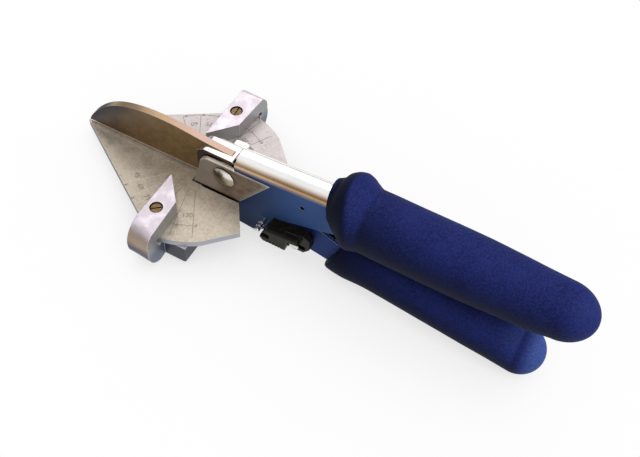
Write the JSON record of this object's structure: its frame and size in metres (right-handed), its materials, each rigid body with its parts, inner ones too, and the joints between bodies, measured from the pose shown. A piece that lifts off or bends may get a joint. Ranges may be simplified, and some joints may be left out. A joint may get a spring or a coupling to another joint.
{
  "type": "mitre guillotine",
  "caption": "Hand mitre shears: a hinged blade closes on a flat anvil plate with swivelling fences, worked by two gripped handles with a sliding safety catch.",
  "frame": {"origin": "mitre centre on the anvil plate's top face, where the cut line meets the line of both fences", "axes": "+X along the tool from the blade's nose to the handles, +Z square to the anvil plate towards the blade's side, +Y to the far fence"},
  "size_m": [0.2698, 0.1094, 0.0807],
  "materials": {
    "polished_steel": "bright polished plating with a blue lacquer on the rear flank",
    "anvil_alloy": "satin, engraved scale",
    "fence_alloy": "satin",
    "blade_steel": "ground and polished",
    "fastener_steel": "zinc plated",
    "bronze": "plain turned",
    "brass": "turned",
    "spring_steel": "drawn wire",
    "black_plastic": "fine moulded texture",
    "blue_grip": "soft moulded vinyl, matte"
  },
  "bodies": {
    "frame": {"frame_channel": "polished_steel", "anvil_plate": "anvil_alloy", "anvil_screws": "fastener_steel", "pivot_bolt": "fastener_steel", "pivot_nut": "fastener_steel", "thrust_washers": "bronze", "spring_pin": "fastener_steel", "spring_cup": "fastener_steel", "latch_peg": "fastener_steel", "upper_grip": "blue_grip", "return_spring": "spring_steel"},
    "blade_lever": {"lower_lever": "polished_steel", "blade": "blade_steel", "pivot_bush": "bronze", "blade_rivets": "fastener_steel", "spring_stud": "fastener_steel", "catch_screw": "fastener_steel", "lower_grip": "blue_grip"},
    "catch": {"safety_catch": "black_plastic"},
    "fence_near": {"near_fence": "fence_alloy"},
    "fence_far": {"far_fence": "fence_alloy"},
    "screw_near": {"near_fence_screw": "brass"},
    "screw_far": {"far_fence_screw": "brass"}
  },
  "joints": [
    {"name": "lever_hinge", "type": "hinge", "parent": "frame", "child": "blade_lever", "pos_m": [0.021, 0, 0.0138], "axis": [0, 1, 0], "range_deg": [0, 28], "deforming": ["return_spring"]},
    {"name": "catch_slide", "type": "slide", "parent": "blade_lever", "child": "catch", "axis": [-1, 0, 0], "range_m": [0, 0.0045]},
    {"name": "near_fence_swivel", "type": "hinge", "parent": "frame", "child": "fence_near", "pos_m": [0, 0, 0], "axis": [0, 0, 1], "range_deg": [-45, 30]},
    {"name": "far_fence_swivel", "type": "hinge", "parent": "frame", "child": "fence_far", "pos_m": [0, 0, 0], "axis": [0, 0, 1], "range_deg": [-30, 45]},
    {"name": "near_screw_turn", "type": "hinge", "parent": "fence_near", "child": "screw_near", "pos_m": [0.0012, -0.0355, 0.005], "axis": [0, 0, 1], "continuous": true},
    {"name": "far_screw_turn", "type": "hinge", "parent": "fence_far", "child": "screw_far", "pos_m": [0.0012, 0.0355, 0.005], "axis": [0, 0, 1], "continuous": true}
  ]
}
